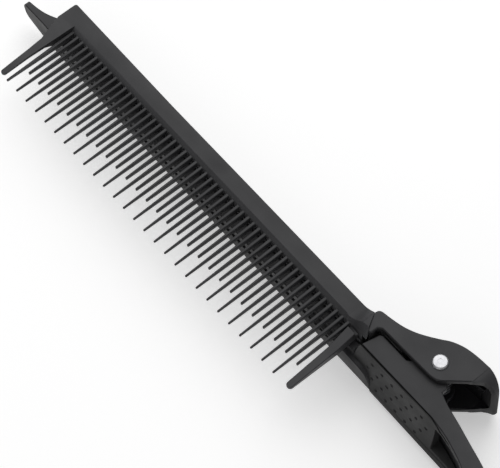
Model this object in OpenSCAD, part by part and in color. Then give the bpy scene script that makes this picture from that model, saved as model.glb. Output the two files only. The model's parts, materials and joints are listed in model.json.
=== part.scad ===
// Sectioning clip for hair: a comb jaw on a thumb lever, closed by a torsion spring
// against a straight lower jaw with a dimpled finger grip. It lies on its side, so the
// pivot rivet stands along Z, the jaws run along X and the teeth point to -Y.

/* [Comb] */
// Distance between neighbouring teeth
tooth_pitch = 1.5; // [1.3:0.05:1.8]
// Number of fine teeth between the two guard teeth, alternately long and short
tooth_count = 54; // [20:2:54]
// Length of a long tooth below the root line
long_tooth = 15.95; // [12:0.05:18]
// Length of a short tooth below the root line
short_tooth = 11.95; // [8:0.05:14]
// Width of a tooth at its root
tooth_root_w = 0.65; // [0.5:0.05:0.9]
// Width of a tooth at its tip
tooth_tip_w = 0.4; // [0.3:0.05:0.7]
// Thickness of a tooth at its root
tooth_root_t = 1; // [0.9:0.05:1.3]
// Thickness of a tooth at its tip
tooth_tip_t = 0.45; // [0.4:0.05:0.9]
// Length of the two guard teeth below the root line
guard_tooth = 15.9; // [12:0.05:18]
// Height of the spine above the root line
spine_h = 3.4; // [3:0.1:3.4]

/* [Thumb lever] */
// Width of the lever over its two cheeks
lever_w = 13.5; // [13:0.1:15]
// Thickness of the lever's walls
lever_wall = 1.3; // [1:0.05:1.4]
// Radius of the rounded corners at the thumb end
thumb_corner_r = 4.5; // [2:0.5:5]

/* [Lower arm] */
// Thickness of the lower arm's side walls
arm_wall = 1.3; // [1:0.05:1.5]
// Width of the lower jaw bar
jaw_w = 6.7; // [5:0.1:6.8]
// Height of the lower jaw bar
jaw_h = 2.55; // [2.3:0.05:2.6]
// How far the lower jaw reaches past the comb's end
nose_len = 10.1; // [8:0.1:12]

/* [Finger pad] */
// Depth of the pad below the edge of the side walls
pad_crown = 2.1; // [1.8:0.05:2.2]
// Radius of one dimple
dimple_r = 0.45; // [0.3:0.05:0.6]
// Distance between dimple rows along the grip
dimple_pitch = 2.48; // [2.2:0.01:3.5]

/* [Rivet and spring] */
// Radius of the rivet's shank
shank_r = 1; // [0.8:0.05:1.1]
// Radius of the rivet's domed head
rivet_head_r = 1.45; // [1.3:0.05:2]
// Height of the rivet's domed head
rivet_head_h = 0.45; // [0.3:0.05:1]
// Diameter of the spring wire
wire_d = 0.85; // [0.6:0.05:0.9]
// Mean radius of the spring's coil
coil_r = 2.1; // [1.8:0.05:2.15]

/* [Hidden] */
$fn = 48;
slack = 0.05;                 // running clearance on each side
eps = 0.01;

// Levels, measured from the pivot axis (X, Y) and from the clip's mid-plane (Z)
cheek_z = lever_w / 2;                      // outer face of a cheek
inner_z = cheek_z - lever_wall;             // inner face of a cheek
arm_z = inner_z - slack - 0.05;             // outer face of the arm's side walls
channel_z = arm_z - arm_wall;               // inner face of the arm's side walls
root_y = -5.5;                              // root line of the teeth
spine_top = root_y + spine_h;
clamp_y = root_y - 0.7;                     // clamping face under the spine
tooth_front_z = 3.55;                       // front of the teeth
spine_front_z = tooth_front_z + 1.2;        // front face of the spine
last_tooth_x = -16.6;                       // the fine tooth nearest the pivot
first_tooth_x = last_tooth_x - (tooth_count - 1) * tooth_pitch;
comb_left_x = first_tooth_x - 4.25;         // free end of the comb
comb_right_x = -13.2;                       // where the comb meets the lever
jaw_top_y = clamp_y - 0.1;
jaw_bottom_y = jaw_top_y - jaw_h;
jaw_far_z = -arm_z;
jaw_near_z = jaw_far_z + jaw_w;
nose_tip_x = comb_left_x - nose_len;
edge_y = -7.25;                             // lower edge of the arm's side walls
pad_front_x = -12.8;
pad_back_x = 7.4;
rail_end_x = 15.3;
strip_z = -0.35;                            // the jaw bar shows beside the pad beyond this level
rail_z = 3.35;                              // the recess between the rails is twice this wide
pad_notch_x = -7;                           // the jaw bar tapers away beside the pad up to here
handle_end_x = 25.4;
rivet_tail_h = 0.5;
rivet_tail_r = 1.45;
back_top = 5.5504;                         // highest point of the lever's back
tongue_low = -3.15;
tongue_high = -2.15;

// The origin is the bottom centre of the whole clip's box
x_shift = -(nose_tip_x + handle_end_x) / 2;
y_shift = -(root_y - long_tooth + back_top) / 2;
z_shift = cheek_z;

// ---- helpers ----

// Points along a smooth curve through the given points, n steps for each span
function spline_point(a, b, c, d, t) =
    0.5 * (2 * b + (c - a) * t + (2 * a - 5 * b + 4 * c - d) * t * t
           + (3 * b - a - 3 * c + d) * t * t * t);
function smooth(p, n = 5) =
    let (last = len(p) - 1)
    [for (i = [0 : last - 1], k = [0 : n - 1])
        spline_point(p[max(i - 1, 0)], p[i], p[i + 1], p[min(i + 2, last)], k / n),
     p[last]];

// An outline in the side view, given thickness along Z
module side_plate(points, z0, z1) {
    translate([0, 0, z0]) linear_extrude(z1 - z0) polygon(points);
}

// A straight prism along X with the given outline in the Y-Z plane
module along_x(points, x0, x1) {
    translate([x0, 0, 0]) rotate([90, 0, 90]) linear_extrude(x1 - x0) polygon(points);
}

// A straight prism along Y with the given outline in the X-Z plane
module along_y(points, y0, y1) {
    translate([0, y1, 0]) rotate([90, 0, 0]) linear_extrude(y1 - y0) polygon(points);
}

// A round wire swept along points that never run parallel to Z
function unit(v) = v / norm(v);
function ring(p, dir, r, sides) =
    let (u = unit(cross([0, 0, 1], dir)), v = cross(dir, u))
    [for (k = [0 : sides - 1]) let (a = 360 * k / sides) p + r * (cos(a) * u + sin(a) * v)];
module wire(path, r, sides = 10) {
    n = len(path);
    rings = [for (i = [0 : n - 1])
        ring(path[i], unit(path[min(i + 1, n - 1)] - path[max(i - 1, 0)]), r, sides)];
    walls = [for (i = [0 : n - 2], k = [0 : sides - 1]) let (m = (k + 1) % sides)
        [i * sides + k, i * sides + m, (i + 1) * sides + m, (i + 1) * sides + k]];
    start_cap = [for (k = [sides - 1 : -1 : 0]) k];
    end_cap = [for (k = [0 : sides - 1]) (n - 1) * sides + k];
    polyhedron([for (r1 = rings, p = r1) p], concat([start_cap, end_cap], walls));
}

// Moves everything from the pivot's frame to the clip's own frame
module placed() {
    translate([x_shift, y_shift, z_shift]) children();
}

// ---- thumb lever ----

// Upper outline of the lever, from the hook at its front to the thumb end
lever_back = smooth([[-13.65, -1.22], [-13.1, -1], [-11.2, -0.7], [-8.8, -0.15], [-6.7, 0.7], [-4.9, 1.75],
                     [-3.2, 2.9], [-1.6, 4.05], [0.5, 4.95], [2.9, 5.4], [5.7, 5.55],
                     [7.8, 5.3], [9.3, 4.7], [10.1, 4]]);
// Lower outline, back from the thumb end along the cheek to the front lip
lever_rim = concat(
    smooth([[10, 3.9], [9.5, 3.75], [8.4, 3.7], [7.3, 3.15]], 3),
    smooth([[3.3, -1.3], [2.6, -2.1], [1.7, -2.7], [0.5, -2.95]]),
    [[-10.9, -3.2], [-11.55, -3.7], [-11.6, -5.2], [-12.2, -5.3], [-14.1, -2.1], [-13.95, -1.5]]);

module lever_outline() { polygon(concat(lever_back, lever_rim)); }

// The hollow under the lever's back, open towards -Y
module lever_hollow() {
    inner_back = [for (p = lever_back) if (p[0] > -11.2 && p[0] < 9.2) p - [0, lever_wall]];
    polygon(concat([[-11.6, -1.95]], inner_back, [[9.2, 3], [9.2, -12], [-11.6, -12]]));
}

// A block with two rounded corners in plan at its +X end
module rounded_plan(x_end, half_w, r) {
    translate([-20, -20, -half_w]) cube([20 + x_end - r, 40, 2 * half_w]);
    translate([-20, -20, r - half_w]) cube([20 + x_end, 40, 2 * (half_w - r)]);
    for (side = [-1, 1])
        translate([x_end - r, 20, side * (half_w - r)]) rotate([90, 0, 0]) cylinder(r = r, h = 40);
}

module thumb_lever() {
    thumb_x = 10.15;
    end_wall = 1.5;
    color([0.16, 0.16, 0.17]) placed() difference() {
        intersection() {
            translate([0, 0, -cheek_z]) linear_extrude(lever_w) lever_outline();
            rounded_plan(thumb_x, cheek_z, thumb_corner_r);
        }
        intersection() {
            translate([0, 0, -inner_z]) linear_extrude(2 * inner_z) lever_hollow();
            rounded_plan(thumb_x - end_wall, inner_z, thumb_corner_r - lever_wall);
        }
        // slot for the comb's tongue
        side_plate([[-15, tongue_low], [-11, tongue_low], [-11, tongue_high], [-15, tongue_high]],
                   -inner_z, inner_z);
        // hole for the rivet, with a recess for its rolled tail
        translate([0, 0, -cheek_z - 1]) cylinder(r = shank_r + 0.02, h = lever_w + 2);
        translate([0, 0, -cheek_z - 1])
            cylinder(r = rivet_tail_r + slack, h = 1 + rivet_tail_h + slack);
    }
}

// ---- comb ----

// One fine tooth seen from the front: tapered, with a round tip
module tooth_shape(x, length) {
    tip_r = tooth_tip_w / 2;
    translate([x, root_y]) {
        polygon([[-tooth_root_w / 2, 0.3], [tooth_root_w / 2, 0.3],
                 [tip_r, tip_r - length], [-tip_r, tip_r - length]]);
        translate([0, tip_r - length]) circle(r = tip_r, $fn = 16);
    }
}

// Guard teeth: flat bars with round tips; their roots spread into the comb's ends
module first_guard_shape() {
    tip = 0.58;
    x = first_tooth_x - 1.5;
    bottom = root_y - guard_tooth + tip;
    translate([x, bottom]) circle(r = tip, $fn = 32);
    polygon([[x - tip, bottom], [x - 0.72, root_y - 12.5], [x - 0.85, root_y - 9],
             [x - 1.06, root_y - 5.8], [x - 1.5, root_y - 4.5], [comb_left_x, root_y - 0.6],
             [comb_left_x, root_y + 1], [x + 1.15, root_y + 1], [x + 0.8, root_y - 5],
             [x + 0.55, root_y - 10], [x + tip, bottom]]);
}
module last_guard_shape() {
    tip = 0.66;
    x = last_tooth_x + 2.35;
    bottom = root_y - guard_tooth + tip;
    translate([x, bottom]) circle(r = tip, $fn = 32);
    polygon([[x - tip, bottom], [x - 0.95, root_y - 6], [x - 1.6, root_y - 1.1],
             [x + 0.35, root_y - 1.1], [x + 0.65, root_y - 5.5], [x + tip, bottom]]);
}

// Side outline that tapers whatever stands below the root line
module thickness_wedge(front, back, tip_front, tip_back, length) {
    along_x([[root_y + 1.2, back], [root_y + 1.2, front], [root_y - 0.2, front],
             [root_y - length, tip_front], [root_y - length, tip_back], [root_y - 0.2, back]],
            comb_left_x - 1, comb_right_x + 2);
}

module comb_teeth() {
    tooth_back_z = tooth_front_z - tooth_root_t;
    intersection() {
        translate([0, 0, tooth_back_z]) linear_extrude(tooth_root_t + 0.45)
            for (i = [0 : tooth_count - 1])
                tooth_shape(last_tooth_x - i * tooth_pitch, i % 2 == 0 ? short_tooth : long_tooth);
        thickness_wedge(tooth_front_z + 0.4, tooth_back_z, tooth_front_z - 0.15,
                        tooth_front_z - 0.15 - tooth_tip_t, long_tooth);
    }
    // the first guard tooth is a thin blade, the last one a thick bar
    intersection() {
        translate([0, 0, tooth_back_z]) linear_extrude(spine_front_z - tooth_back_z)
            first_guard_shape();
        along_x([[root_y + 1.2, tooth_back_z], [root_y + 1.2, spine_front_z],
                 [root_y - 0.2, spine_front_z], [root_y - guard_tooth, tooth_front_z + 0.5],
                 [root_y - guard_tooth, tooth_front_z], [root_y - 6.5, spine_front_z - 1],
                 [root_y - 4.6, tooth_front_z - 0.7], [root_y - 3, tooth_back_z]],
                comb_left_x - 1, first_tooth_x + 1);
    }
    intersection() {
        translate([0, 0, tooth_back_z]) linear_extrude(spine_front_z - tooth_back_z)
            last_guard_shape();
        thickness_wedge(spine_front_z, tooth_back_z, tooth_front_z + 0.5,
                        tooth_front_z - 0.1, guard_tooth);
    }
    // low root that ties the last guard tooth to the spine
    translate([last_tooth_x + 0.75, root_y - 1.6, tooth_back_z]) cube([1.95, 2.1, 0.9]);
}

// Upper outline of the spine: very slightly hollow, from the free end to the lever
spine_back = smooth([[comb_left_x, spine_top + 0.28], [-90, spine_top + 0.18],
                     [-80, spine_top + 0.09], [-70, spine_top], [-50, spine_top - 0.02],
                     [-25, spine_top + 0.05], [comb_right_x, spine_top + 0.1]], 4);

// Plan of the shoulder where the spine's front face rises to the lever's cheek
shoulder_plan = concat(
    [[comb_right_x + 1, tooth_front_z], [-17.7, tooth_front_z]],
    smooth([[-17.7, spine_front_z - 0.02], [-16.8, spine_front_z + 0.08],
            [-15.9, spine_front_z + 0.4], [-15, spine_front_z + 1], [-14.2, spine_front_z + 1.6],
            [-13.4, spine_front_z + 1.8], [comb_right_x + 1, spine_front_z + 1.85]]));

// Section of the shoulder, with a rounded wall down to the teeth
shoulder_section = concat(
    [[spine_top + 0.05, tooth_front_z], [spine_top + 0.05, cheek_z], [root_y + 1, cheek_z]],
    smooth([[root_y + 0.75, cheek_z - 0.3], [root_y + 0.45, spine_front_z + 0.6],
            [root_y + 0.1, tooth_front_z + 0.9], [root_y - 0.2, tooth_front_z + 0.3]], 3),
    [[root_y - 0.2, tooth_front_z]]);

module comb() {
    far_z = -arm_z;
    // section of the spine: front face, bevel down to the teeth, clamping face behind them
    section = [[spine_top + 0.4, spine_front_z], [root_y + 0.4, spine_front_z],
               [root_y - 0.2, tooth_front_z + 0.4], [root_y - 0.35, tooth_front_z - 0.1],
               [root_y - 0.35, jaw_near_z + 0.85],
               [clamp_y, jaw_near_z + 0.85], [clamp_y, far_z], [spine_top + 0.4, far_z]];
    end_cut = [[-14.25, -1.85], [-14.15, -2.1], [-12.25, -5.4], [-12.25, -8], [-10, -8],
               [-10, -1.85]];
    corner_r = 0.5;
    bay = 13.5;
    bays = floor((comb_right_x - comb_left_x - 2) / bay);
    color([0.15, 0.15, 0.16]) placed() {
        difference() {
            union() {
                // the end slants like the lever's front lip
                difference() {
                    intersection() {
                        along_x(section, comb_left_x, comb_right_x);
                        side_plate(concat(spine_back, [[comb_right_x, -10], [comb_left_x, -10]]),
                                   -cheek_z, cheek_z);
                    }
                    // rounded corner at the free end
                    translate([comb_left_x, spine_top + 0.28, -cheek_z]) difference() {
                        translate([-1, -corner_r, 0]) cube([corner_r + 1, corner_r + 1, lever_w]);
                        translate([corner_r, -corner_r, -1]) cylinder(r = corner_r, h = lever_w + 2);
                    }
                    side_plate(end_cut, -cheek_z, cheek_z);
                }
                difference() {
                    intersection() {
                        along_y(shoulder_plan, root_y - 1, spine_top + 0.05);
                        along_x(shoulder_section, -18, comb_right_x + 1);
                    }
                    side_plate(end_cut, 0, cheek_z + 1);
                }
                comb_teeth();
                // tongue held in a slot under the lever's back
                side_plate([[-15, tongue_low], [-6.6, tongue_low], [-6.6, -0.95], [-8.8, -1.55],
                            [-11.2, tongue_high], [-15, tongue_high]], far_z, spine_front_z);
            }
            // lightening bays open at the far side, with ribs between them
            for (i = [0 : bays - 1])
                translate([comb_left_x + 1.5 + i * bay, root_y + 0.6, far_z - 1])
                    cube([bay - 1.2, spine_h - 1.8, spine_front_z - far_z - 0.6]);
        }
    }
}

// ---- lower arm ----

// Side view of the grip's wall: front corner, lug round the pivot, then the finger handle
lug_r = 2.7;
arm_side = concat(
    [[-11.6, edge_y], [-10.9, -3.9], [-10.4, -3.5], [-4.4, -3.5], [-3.5, -2.7], [-2.75, -1.2]],
    [for (a = [175 : -15 : 10]) lug_r * [cos(a), sin(a)]],
    [[2.75, -0.6], [3.35, -1.3], [3.85, -1.95], [3.8, -2.95], [5.2, -3.45], [6.35, -3.8]],
    smooth([[9.9, -4.6], [13.4, -5.5], [18, -6.7], [22, -8.3], [24.6, -9.9]]),
    [[25.2, -10.6], [25.4, -11.5], [25.1, -12.4], [24.4, -12.9]],
    smooth([[23.6, -12.9], [20, -11.7], [15.5, -9.4], [11.6, -8.15], [9, -7.6], [6, edge_y]]));

// Floor of the channel, a little below the walls' upper edge
arm_web = concat(
    [[-11, -5.9], [-10.6, -4.5], [-4, -4.5], [6.5, -4.9], [10, -5.55]],
    smooth([[13.4, -6.45], [18, -7.7], [22, -9.3], [24.8, -11.1]]),
    [[24.8, -12.2]],
    smooth([[22, -10.75], [18, -9.1], [13.4, -7.8], [9.9, -6.9]]),
    [[6.5, -6.2], [-4, -5.9]]);

// The lower jaw seen from the side, with the nose that stands up before the comb's end
nose_wall_x = comb_left_x - 0.3;
jaw_side = concat(
    smooth([[nose_tip_x, jaw_top_y - 0.7], [nose_tip_x + 2.6, jaw_top_y - 0.6],
            [nose_tip_x + 5.4, jaw_top_y - 0.17], [nose_wall_x - 2.2, jaw_top_y + 0.6],
            [nose_wall_x - 1.4, jaw_top_y + 1.2]]),
    [[nose_wall_x, jaw_top_y + 1.3], [nose_wall_x, jaw_top_y], [-11.3, jaw_top_y],
     [-11.3, edge_y + 0.1], [pad_notch_x - 0.05, edge_y + 0.1], [pad_notch_x - 0.05, jaw_bottom_y - 0.1]],
    smooth([[-16, jaw_bottom_y - 0.05], [-25, jaw_bottom_y], [-60, jaw_bottom_y + 0.12],
            [comb_left_x + 10, jaw_bottom_y + 0.22], [comb_left_x + 4, jaw_bottom_y + 0.3],
            [comb_left_x - 2, jaw_bottom_y + 0.5], [nose_tip_x + 2.4, jaw_bottom_y + 0.65],
            [nose_tip_x, jaw_bottom_y + 0.7]]));

// Boundary between the jaw bar and the pad in plan: the bar's strip tapers to nothing
strip_edge = smooth([[pad_front_x - 0.1, strip_z], [-11.2, strip_z], [-9.6, strip_z - 0.4],
                     [-8.7, strip_z - 1.3], [-8.1, strip_z - 2.7], [pad_notch_x - 0.7, -arm_z]]);

module jaw_plan() {
    // the nose narrows to a round end
    hull() {
        translate([nose_tip_x + 1.6, jaw_near_z - 1.6 - 0.6]) circle(r = 1.6, $fn = 40);
        translate([nose_tip_x + 1.9, jaw_far_z + 3.4]) circle(r = 1.9, $fn = 40);
        translate([nose_tip_x + 7, jaw_far_z]) square([1, jaw_w]);
    }
    translate([nose_tip_x + 7, jaw_far_z]) square([-nose_tip_x - 7 + pad_notch_x, jaw_w]);
}

module lower_arm() {
    groove_count = floor((-14 - comb_left_x) / tooth_pitch);
    color([0.15, 0.15, 0.16]) placed() difference() {
        union() {
            side_plate(arm_side, -arm_z, arm_z);
            intersection() {
                side_plate(jaw_side, jaw_far_z, jaw_near_z);
                translate([0, 0, 0]) rotate([90, 0, 0])
                    translate([0, 0, -40]) linear_extrude(80) jaw_plan();
            }
        }
        // space between the side walls: above the web for the spring, below it for the pad
        difference() {
            translate([-10.3, -20, -channel_z]) cube([34.5, 30, 2 * channel_z]);
            side_plate(arm_web, -channel_z - 1, channel_z + 1);
            translate([-12, -12, -channel_z - 1]) cube([12 + pad_notch_x, 7, 2 * channel_z + 2]);
        }
        // the pad lies on the near part of the jaw bar
        along_y(concat(strip_edge, [[pad_notch_x + 0.4, -arm_z - 0.4], [pad_notch_x + 0.4, cheek_z],
                                    [pad_front_x - 0.1, cheek_z]]), -12, edge_y);
        // the bar's near lower edge steps back in line with the pad
        along_x([[-7.9, jaw_near_z + 1], [-8, jaw_near_z], [-8.2, strip_z], [-10, strip_z],
                 [-10, jaw_near_z + 1]], -24, pad_front_x);
        // bearing holes for the rivet
        translate([0, 0, -cheek_z]) cylinder(r = shank_r + slack, h = lever_w);
        // fine gripping grooves across the clamping face of the jaw
        for (i = [0 : groove_count - 1])
            translate([comb_left_x + 1 + i * tooth_pitch, jaw_top_y - 0.15, jaw_far_z + 0.6])
                cube([tooth_pitch / 2, 1, jaw_w - 1.2]);
        // relief along the jaw's underside
        translate([comb_left_x + 2, jaw_bottom_y - 1, jaw_far_z + 3.2])
            cube([-20 - comb_left_x, 1.45, 1.6]);
    }
}

// ---- finger pad ----

// Section across the grip: flush with the near side wall, fuller towards the far one
pad_section = [[edge_y, arm_z], [edge_y - 0.12, arm_z - 0.45], [edge_y - 0.45, 2.9],
               [edge_y - 0.75, 0.45], [edge_y - 1.15, -2], [edge_y - 1.6, -4],
               [edge_y - pad_crown, 0.5 - arm_z], [edge_y - pad_crown + 0.3, -arm_z],
               [edge_y + 1, -arm_z], [edge_y + 1, arm_z]];

// Side view of the pad: it deepens slowly towards the fingers
pad_side = concat(
    [[-11.6, edge_y]],
    smooth([[pad_front_x, edge_y - 0.75], [pad_front_x + 0.2, edge_y - 1.3],
            [pad_front_x + 1.3, edge_y - 1.65], [-9, edge_y - 1.77], [-3, edge_y - 1.85],
            [3, edge_y - 1.95], [11, edge_y - 2.1]]),
    [[rail_end_x, edge_y - 2.2], [rail_end_x, edge_y - 1.2], [9, edge_y - 0.3], [6, edge_y]]);

// Side view of the key that fills the channel under the web
pad_key = [[pad_notch_x + 0.1, edge_y - 0.3], [pad_notch_x + 0.1, -5.95], [-4, -5.95],
           [6.5, -6.25], [9.9, -6.97], [13.4, -7.87], [rail_end_x, -8.45], [rail_end_x, -9],
           [11.6, -8.15], [9, -7.7], [6.5, edge_y - 0.3]];

module finger_pad() {
    rows = floor((pad_back_x + 9.6) / dimple_pitch) + 1;
    columns = [2.75, 0.7, -1.3, -3.25];
    color([0.19, 0.19, 0.20]) placed() difference() {
        union() {
            intersection() {
                along_x(pad_section, pad_front_x, rail_end_x);
                side_plate(pad_side, -arm_z, arm_z);
            }
            side_plate(pad_key, -channel_z + slack, channel_z - slack);
        }
        // the side walls of the arm, and the jaw bar beside the front of the pad
        for (z = [channel_z - slack, -arm_z - 1])
            side_plate(arm_side, z, z + arm_wall + slack + 1);
        along_y(concat([for (p = strip_edge) p + [0, 0.12]],
                       [[pad_notch_x + 0.4, -arm_z - 1], [pad_front_x - 0.1, -arm_z - 1]]),
                edge_y - 10, edge_y + 10);
        // recess between two rails behind the fingertip area
        translate([pad_back_x, edge_y - 10, -rail_z]) cube([20, 20, 2 * rail_z]);
        // staggered dimples
        for (column = [0 : 3], row = [0 : rows - 1])
            let (x = -9.6 + dimple_pitch * (row + (column % 2 == 0 ? 0.5 : 0)) + 0.23 * column,
                 y = lookup(-columns[column], [for (k = [0 : 6]) [-pad_section[k][1], pad_section[k][0]]]))
            if (x < pad_back_x - 1.5 && columns[column] > lookup(x, strip_edge) + 0.8)
                translate([x, max(y, edge_y - 1.8) - 0.2, columns[column]])
                    sphere(r = dimple_r, $fn = 24);
    }
}

// ---- rivet and spring ----

module pivot_rivet() {
    h = rivet_head_h;
    r = rivet_head_r;
    color([0.82, 0.83, 0.85]) placed() difference() {
        union() {
            translate([0, 0, -cheek_z + 0.3]) cylinder(r = shank_r, h = lever_w - 0.3);
            // low head with a rounded rim
            translate([0, 0, cheek_z]) rotate_extrude($fn = 96)
                polygon(concat([[0, -0.1], [shank_r, -0.1], [shank_r, 0]],
                               smooth([[r, 0], [r - 0.03, 0.35 * h], [r - 0.15, 0.68 * h],
                                       [r - 0.45, 0.9 * h], [0, h]])));
            // rolled tail
            translate([0, 0, -cheek_z + slack]) rotate_extrude()
                polygon([[0, 0], [rivet_tail_r - 0.25, 0], [rivet_tail_r, 0.2],
                         [rivet_tail_r, rivet_tail_h], [0, rivet_tail_h]]);
        }
        // hollow end of the rolled tail and the shallow flat set in the head
        translate([0, 0, -cheek_z - 1]) cylinder(r = 0.6, h = 3);
        translate([0, 0, cheek_z + rivet_head_h - 0.07]) cylinder(r = 0.5, h = 1);
    }
}

// Half of the coil and its leg. turn is -1 for the upper half, which winds clockwise as it
// climbs, and 1 for the lower half.
module spring_half(turn, leg_angle, leg_end_x) {
    split_angle = 180 + turn * 4;
    coil_pitch = 1;
    full_turns = 2;
    last_angle = turn > 0 ? 270 - leg_angle : 90 + leg_angle;
    sweep = 360 * full_turns + abs(last_angle - split_angle);
    steps = ceil(sweep / 18);
    coil = [for (k = [0 : steps])
        let (s = sweep * k / steps, a = split_angle + turn * s)
        [coil_r * cos(a), coil_r * sin(a), -turn * (0.02 + coil_pitch * s / 360)]];
    start = coil[steps];
    dir = turn * [-sin(last_angle), cos(last_angle), 0];
    reach = (leg_end_x - start[0]) / dir[0];
    leg = [for (k = [1 : 4]) start + dir * reach * k / 4];
    color([0.7, 0.71, 0.72]) placed() wire(concat(coil, leg), wire_d / 2);
}
module spring_upper_half() { spring_half(-1, 11.2, 7.3); }
module spring_lower_half() { spring_half(1, 15.5, 8.2); }

thumb_lever();
comb();
lower_arm();
finger_pad();
pivot_rivet();
spring_upper_half();
spring_lower_half();
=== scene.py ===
import json
import math

import bmesh
import bpy
from mathutils import Matrix, Vector


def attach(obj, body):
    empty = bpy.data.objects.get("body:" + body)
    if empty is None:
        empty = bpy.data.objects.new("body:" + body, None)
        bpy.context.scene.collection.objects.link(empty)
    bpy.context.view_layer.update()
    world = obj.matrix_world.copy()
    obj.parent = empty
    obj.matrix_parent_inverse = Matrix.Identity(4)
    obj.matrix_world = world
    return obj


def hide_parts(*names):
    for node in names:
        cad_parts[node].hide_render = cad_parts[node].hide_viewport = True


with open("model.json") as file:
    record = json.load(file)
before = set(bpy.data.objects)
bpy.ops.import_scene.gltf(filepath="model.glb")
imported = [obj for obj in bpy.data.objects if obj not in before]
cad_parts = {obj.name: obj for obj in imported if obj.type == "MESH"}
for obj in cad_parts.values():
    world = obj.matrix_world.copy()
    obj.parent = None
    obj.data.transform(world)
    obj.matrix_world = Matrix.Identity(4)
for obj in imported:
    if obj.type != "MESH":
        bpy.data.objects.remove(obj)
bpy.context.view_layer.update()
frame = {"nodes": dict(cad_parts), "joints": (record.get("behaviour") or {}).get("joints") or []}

MM = 0.001
PIVOT = Vector(frame["joints"][0]["pos_m"])

# mesh clean-up
JOIN_DISTANCE = 0.015 * MM        # corners closer than this become one
FLAT_ANGLE = math.radians(0.5)    # faces that differ by less than this become one

# rounding of edges
SHARP_ANGLE = math.radians(28)    # edges that turn by at least this are rounded
RUN_ANGLE = math.radians(130)     # edges that meet at more than this follow one another
ROOM_SHARE = 0.45                 # share of a neighbouring edge that a rounding may take
SIDEWAYS_SINE = 0.35              # flat edges nearer to the run's direction don't limit it
LEAST_SHARE = 0.1                 # below this share of the full width an edge stays sharp
ROUND_SEGMENTS = 3
COMB_ROUND = 0.17 * MM
LEVER_ROUND = 0.3 * MM
ARM_ROUND = 0.22 * MM
PAD_ROUND = 0.12 * MM
LEVER_TAPER = 0.3                 # growth of the width per length along the lever's rim

# the seam round the finger pad
PAD_LIP_Z = 4.0 * MM              # distance of the pad's lips from its middle
PAD_SEAM = 0.12 * MM

# moulded plastic: noise scales per metre, depths in metres
PLASTIC_SPECULAR = 0.27
MOTTLE_SCALE = 110
GLOSS_PATCH_SCALE = 170
GRAIN_SCALE = 3200
GRAIN_DEPTH = 0.02 * MM
WAVE_SCALE = 220
WAVE_DEPTH = 0.1 * MM
WAVE_STRENGTH = 0.12
DOWN_FULL = -1.0                  # normal's y where the light painted on faces that look down is complete
DOWN_START = -0.1                 # normal's y where it starts

# metal
METAL_PATCH_SCALE = 900
SCRATCH_SCALE = 2600
SCRATCH_DEPTH = 0.02 * MM
SCRATCH_STRENGTH = 0.25

# studio
FLOOR_HALF = 2.0
FLOOR_GAP = 0.2 * MM
FLOOR_GLOW = 0.42
WORLD_STRENGTH = 0.2
CAMERA_LENS = 129.6
CAMERA_SENSOR = 36
CAMERA_FORWARD = (-0.4033, 0.2459, -0.8814)
CAMERA_UP = (-0.6651, 0.5828, 0.4669)


def at(x, y, z):
    """A point given in millimetres from the pivot, in the CAD frame."""
    return PIVOT + Vector((x, y, z)) * MM


# ---- node helpers ----

def new_material(name):
    """An empty node material with its Principled shader, object coordinates and output."""
    mat = bpy.data.materials.new(name)
    mat.use_nodes = True
    tree = mat.node_tree
    tree.nodes.clear()
    out = tree.nodes.new("ShaderNodeOutputMaterial")
    shader = tree.nodes.new("ShaderNodeBsdfPrincipled")
    tree.links.new(shader.outputs["BSDF"], out.inputs["Surface"])
    coords = tree.nodes.new("ShaderNodeTexCoord")
    return mat, tree, shader, coords


def noise(tree, coords, scale, detail, stretch=(1, 1, 1)):
    """Noise in object space, stretched along an axis where its stretch is below 1."""
    mapping = tree.nodes.new("ShaderNodeMapping")
    mapping.inputs["Scale"].default_value = stretch
    tex = tree.nodes.new("ShaderNodeTexNoise")
    tex.inputs["Scale"].default_value = scale
    tex.inputs["Detail"].default_value = detail
    tree.links.new(coords.outputs["Object"], mapping.inputs["Vector"])
    tree.links.new(mapping.outputs["Vector"], tex.inputs["Vector"])
    return tex.outputs["Fac"]


def ramp(tree, fac, low, high, colour_low, colour_high):
    """Blends two colours between two values of a factor."""
    node = tree.nodes.new("ShaderNodeValToRGB")
    node.color_ramp.elements[0].position = low
    node.color_ramp.elements[1].position = high
    node.color_ramp.elements[0].color = (*colour_low, 1)
    node.color_ramp.elements[1].color = (*colour_high, 1)
    tree.links.new(fac, node.inputs["Fac"])
    return node.outputs["Color"]


def remap(tree, fac, low, high):
    """Spreads the middle part of a noise between two values."""
    node = tree.nodes.new("ShaderNodeMapRange")
    node.inputs["From Min"].default_value = 0.3
    node.inputs["From Max"].default_value = 0.7
    node.inputs["To Min"].default_value = low
    node.inputs["To Max"].default_value = high
    tree.links.new(fac, node.inputs["Value"])
    return node.outputs["Result"]


def bump(tree, shader, layers):
    """Stacks (height, distance in metres, strength) layers of bump."""
    below = None
    for height, distance, strength in layers:
        node = tree.nodes.new("ShaderNodeBump")
        node.inputs["Distance"].default_value = distance
        node.inputs["Strength"].default_value = strength
        tree.links.new(height, node.inputs["Height"])
        if below is not None:
            tree.links.new(below, node.inputs["Normal"])
        below = node.outputs["Normal"]
    tree.links.new(below, shader.inputs["Normal"])


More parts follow.
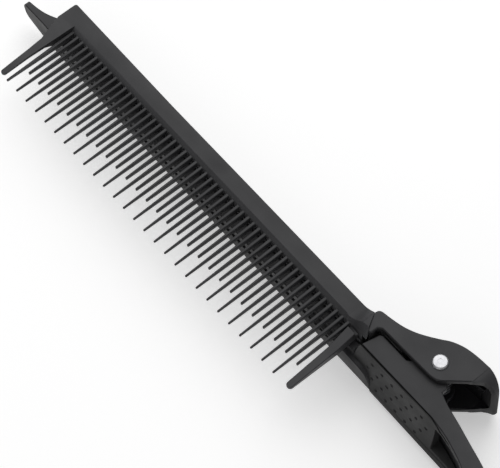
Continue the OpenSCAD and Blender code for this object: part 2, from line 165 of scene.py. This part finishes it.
def paint_underside_light(tree, coords, shader, colour, factor):
    """Paints light into colour and gloss, both multiplied by a factor on faces that look down
    (-Y).

    Below 1 this is painted shade and above 1 painted light, standing in for the light from the
    bright floor; it is not a finish the real part has.
    """
    split = tree.nodes.new("ShaderNodeSeparateXYZ")
    tree.links.new(coords.outputs["Normal"], split.inputs["Vector"])
    painted_light_factor = tree.nodes.new("ShaderNodeMapRange")
    painted_light_factor.inputs["From Min"].default_value = DOWN_FULL
    painted_light_factor.inputs["From Max"].default_value = DOWN_START
    painted_light_factor.inputs["To Min"].default_value = factor
    painted_light_factor.inputs["To Max"].default_value = 1.0
    tree.links.new(split.outputs["Y"], painted_light_factor.inputs["Value"])
    scale = tree.nodes.new("ShaderNodeVectorMath")
    scale.operation = "SCALE"
    tree.links.new(colour, scale.inputs[0])
    tree.links.new(painted_light_factor.outputs["Result"], scale.inputs["Scale"])
    tree.links.new(scale.outputs["Vector"], shader.inputs["Base Color"])
    gloss = tree.nodes.new("ShaderNodeMath")
    gloss.operation = "MULTIPLY"
    gloss.inputs[1].default_value = PLASTIC_SPECULAR
    tree.links.new(painted_light_factor.outputs["Result"], gloss.inputs[0])
    tree.links.new(gloss.outputs["Value"], shader.inputs["Specular IOR Level"])


def plastic(name, dark, light, rough=(0.34, 0.5), grain=0.6, under=0.45):
    """Satin black injection-moulded plastic: fine grain, slow waviness, flow-line mottling and
    painted light.

    Below 1, under paints shade on the faces that look down; above 1, it paints light on them.
    """
    mat, tree, shader, coords = new_material(name)
    mottle = noise(tree, coords, MOTTLE_SCALE, 4, (0.5, 1, 1))
    colour = ramp(tree, mottle, 0.3, 0.7, dark, light)
    # painted shade in colour and gloss on the faces that look down, painted light where under is
    # above 1
    paint_underside_light(tree, coords, shader, colour, under)
    patches = noise(tree, coords, GLOSS_PATCH_SCALE, 3)
    tree.links.new(remap(tree, patches, *rough), shader.inputs["Roughness"])
    bump(tree, shader, [
        (noise(tree, coords, GRAIN_SCALE, 2), GRAIN_DEPTH, grain),
        (noise(tree, coords, WAVE_SCALE, 2, (0.4, 1, 1)), WAVE_DEPTH, WAVE_STRENGTH),
    ])
    return mat


def metal(name, colour, worn, rough, scratch_stretch):
    """Bright metal with fine scratches and slightly duller patches."""
    mat, tree, shader, coords = new_material(name)
    shader.inputs["Metallic"].default_value = 1.0
    patches = noise(tree, coords, METAL_PATCH_SCALE, 3)
    tree.links.new(ramp(tree, patches, 0.35, 0.75, colour, worn), shader.inputs["Base Color"])
    scratches = noise(tree, coords, SCRATCH_SCALE, 4, scratch_stretch)
    tree.links.new(remap(tree, scratches, *rough), shader.inputs["Roughness"])
    bump(tree, shader, [(scratches, SCRATCH_DEPTH, SCRATCH_STRENGTH)])
    return mat


# the under factor of each plastic paints light on its faces that look down: painted light on the
# comb (above 1), painted shade on the lever, arm and pad (below 1)
LEVER_PLASTIC = plastic("lever_black_plastic", (0.04, 0.04, 0.0425), (0.058, 0.058, 0.061))
COMB_PLASTIC = plastic("comb_black_plastic", (0.042, 0.042, 0.0445), (0.063, 0.063, 0.066),
                       under=1.4)
ARM_PLASTIC = plastic("arm_black_plastic", (0.036, 0.036, 0.0385), (0.054, 0.054, 0.057),
                      under=0.3)
PAD_PLASTIC = plastic("pad_black_plastic", (0.026, 0.026, 0.0265), (0.042, 0.042, 0.0425),
                      rough=(0.45, 0.6), grain=0.9, under=0.7)
RIVET_METAL = metal("rivet_nickel", (0.6, 0.6, 0.61), (0.5, 0.5, 0.52),
                    rough=(0.26, 0.4), scratch_stretch=(1, 1, 0.2))
SPRING_STEEL = metal("spring_steel", (0.035, 0.036, 0.038), (0.02, 0.02, 0.022),
                     rough=(0.3, 0.45), scratch_stretch=(1, 1, 1))


# ---- mesh helpers ----

def link_mesh(name, bm, material, body):
    """Turns a bmesh into a piece that rides on a body."""
    mesh = bpy.data.meshes.new(name)
    bm.to_mesh(mesh)
    bm.free()
    obj = bpy.data.objects.new(name, mesh)
    bpy.context.scene.collection.objects.link(obj)
    obj.data.materials.append(material)
    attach(obj, body)
    return obj


def clean_copy(node):
    """The CAD node's faces as a bmesh with joined corners and whole flat faces."""
    bm = bmesh.new()
    bm.from_mesh(frame["nodes"][node].data)
    bmesh.ops.remove_doubles(bm, verts=bm.verts, dist=JOIN_DISTANCE)
    bmesh.ops.dissolve_limit(bm, angle_limit=FLAT_ANGLE, verts=bm.verts, edges=bm.edges)
    return bm


def room_at_edges(sharp, width):
    """The width each sharp edge has room for, and the edges that follow it in its run."""
    room = {edge: width for edge in sharp}
    follows = {edge: [] for edge in sharp}
    for edge in sharp:
        for vert in edge.verts:
            along = edge.other_vert(vert).co - vert.co
            for other in vert.link_edges:
                if other is edge:
                    continue
                across = other.other_vert(vert).co - vert.co
                between = along.angle(across)
                if other in room:
                    turn = max((math.pi - between) / 2, 0.001)
                    shorter = min(along.length, across.length)
                    room[edge] = min(room[edge], ROOM_SHARE * shorter / math.tan(turn))
                    if between > RUN_ANGLE:
                        follows[edge].append(other)
                elif math.sin(between) > SIDEWAYS_SINE:
                    sideways = across.length * math.sin(between)
                    room[edge] = min(room[edge], ROOM_SHARE * sideways)
    return room, follows


def even_out(room, follows, taper):
    """Limits how fast the width grows along a run, so that no step shows between two edges."""
    pending = list(room)
    while pending:
        edge = pending.pop()
        for other in follows[edge]:
            reach = room[edge] + taper * min(edge.calc_length(), other.calc_length())
            if room[other] > reach + 1e-9:
                room[other] = reach
                pending.append(other)


def rounding_weights(mesh, width, taper, sharp_past):
    """Gives sharp edges the share of the full width that their surroundings allow.

    Along a run of edges the width grows by at most the taper, and 0 keeps a run even.
    Edges past the given x stay sharp, and so do those that have hardly any room.
    """
    bm = bmesh.new()
    bm.from_mesh(mesh)
    layer = bm.edges.layers.float.new("bevel_weight_edge")
    sharp = [edge for edge in bm.edges
             if len(edge.link_faces) == 2 and edge.calc_face_angle(0) >= SHARP_ANGLE]
    room, follows = room_at_edges(sharp, width)
    for edge in sharp:
        if max(vert.co.x for vert in edge.verts) > sharp_past:
            room[edge] = 0.0
    even_out(room, follows, taper)
    for edge in sharp:
        edge[layer] = room[edge] / width if room[edge] > LEAST_SHARE * width else 0
        edge.smooth = edge[layer] > 0
    bm.to_mesh(mesh)
    bm.free()


def soften(obj, width, taper=0.0, sharp_past=math.inf):
    """Rounds the edges that have room for it, as in a mould, and shades the faces smoothly."""
    rounding_weights(obj.data, width, taper, sharp_past)
    for poly in obj.data.polygons:
        poly.use_smooth = True
    mod = obj.modifiers.new("rounded edges", "BEVEL")
    mod.width = width
    mod.segments = ROUND_SEGMENTS
    mod.limit_method = "WEIGHT"
    mod.use_clamp_overlap = False
    normals = obj.modifiers.new("face normals", "WEIGHTED_NORMAL")
    normals.keep_sharp = True
    return obj


# ---- pieces ----

comb = link_mesh("comb_moulding", clean_copy("comb"), COMB_PLASTIC, "upper")
soften(comb, COMB_ROUND)
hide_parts("comb")

# the lever's rim is rounded up to the hooked thumb end, where a cut across it ends the rounding
lever_bm = clean_copy("thumb_lever")
hook_start = at(6, 0, 0)
bmesh.ops.bisect_plane(lever_bm, geom=lever_bm.verts[:] + lever_bm.edges[:] + lever_bm.faces[:],
                       plane_co=hook_start, plane_no=(1, 0, 0))
lever = link_mesh("lever_shell", lever_bm, LEVER_PLASTIC, "upper")
soften(lever, LEVER_ROUND, taper=LEVER_TAPER, sharp_past=hook_start.x + 0.01 * MM)
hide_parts("thumb_lever")

arm = link_mesh("lower_arm_moulding", clean_copy("lower_arm"), ARM_PLASTIC, "lower")
soften(arm, ARM_ROUND)
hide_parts("lower_arm")

pad_bm = clean_copy("finger_pad")
for vert in pad_bm.verts:
    # the lip stands a little off the edge of the side wall, which leaves the visible seam
    side = abs(vert.co.z - PIVOT.z) > PAD_LIP_Z
    if side and any(face.normal.y > 0.6 for face in vert.link_faces):
        vert.co.y -= PAD_SEAM
pad = link_mesh("dimpled_pad", pad_bm, PAD_PLASTIC, "lower")
soften(pad, PAD_ROUND)
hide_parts("finger_pad")

# these keep their CAD meshes and get a finish only
for node, material in (("pivot_rivet", RIVET_METAL), ("spring_upper_half", SPRING_STEEL),
                       ("spring_lower_half", SPRING_STEEL)):
    obj = frame["nodes"][node]
    obj.data.materials.clear()
    obj.data.materials.append(material)


# ---- studio ----

def floor():
    """A plain pale floor just under the part, bright enough to read as a white background."""
    mat, tree, shader, coords = new_material("pale_floor")
    fac = noise(tree, coords, 3, 2)
    tree.links.new(ramp(tree, fac, 0.3, 0.7, (0.9, 0.9, 0.9), (0.93, 0.93, 0.93)),
                   shader.inputs["Base Color"])
    shader.inputs["Roughness"].default_value = 0.9
    shader.inputs["Emission Color"].default_value = (1, 1, 1, 1)
    shader.inputs["Emission Strength"].default_value = FLOOR_GLOW
    bm = bmesh.new()
    bmesh.ops.create_grid(bm, x_segments=8, y_segments=8, size=FLOOR_HALF)
    mesh = bpy.data.meshes.new("studio_floor")
    bm.to_mesh(mesh)
    bm.free()
    obj = bpy.data.objects.new("studio_floor", mesh)
    obj.location = (0, 0, -FLOOR_GAP)
    bpy.context.scene.collection.objects.link(obj)
    mesh.materials.append(mat)


def softbox(name, position, size, power):
    """A square area light that points at the origin."""
    light = bpy.data.lights.new(name, "AREA")
    light.size = size
    light.energy = power
    obj = bpy.data.objects.new(name, light)
    obj.location = position
    obj.rotation_euler = (-Vector(position)).to_track_quat("-Z", "Y").to_euler()
    bpy.context.scene.collection.objects.link(obj)


floor()
softbox("key_softbox", (-0.28, 0.27, 0.6), size=0.9, power=3.7)
softbox("fill_softbox", (0.3, -0.45, 0.35), size=0.5, power=0.3)

world = bpy.data.worlds.new("studio")
world.use_nodes = True
background = world.node_tree.nodes["Background"]
background.inputs["Color"].default_value = (1, 1, 1, 1)
background.inputs["Strength"].default_value = WORLD_STRENGTH
bpy.context.scene.world = world

camera_data = bpy.data.cameras.new("camera")
camera_data.sensor_width = CAMERA_SENSOR
camera_data.lens = CAMERA_LENS
camera_data.clip_start = 0.01
camera = bpy.data.objects.new("camera", camera_data)
bpy.context.scene.collection.objects.link(camera)
forward = Vector(CAMERA_FORWARD).normalized()
right = forward.cross(Vector(CAMERA_UP)).normalized()
turn = Matrix((right, right.cross(forward), -forward)).transposed().to_4x4()
camera.matrix_world = Matrix.Translation(at(86.31, -85.36, 281.79)) @ turn
bpy.context.scene.camera = camera
bpy.context.scene.view_settings.view_transform = "Standard"
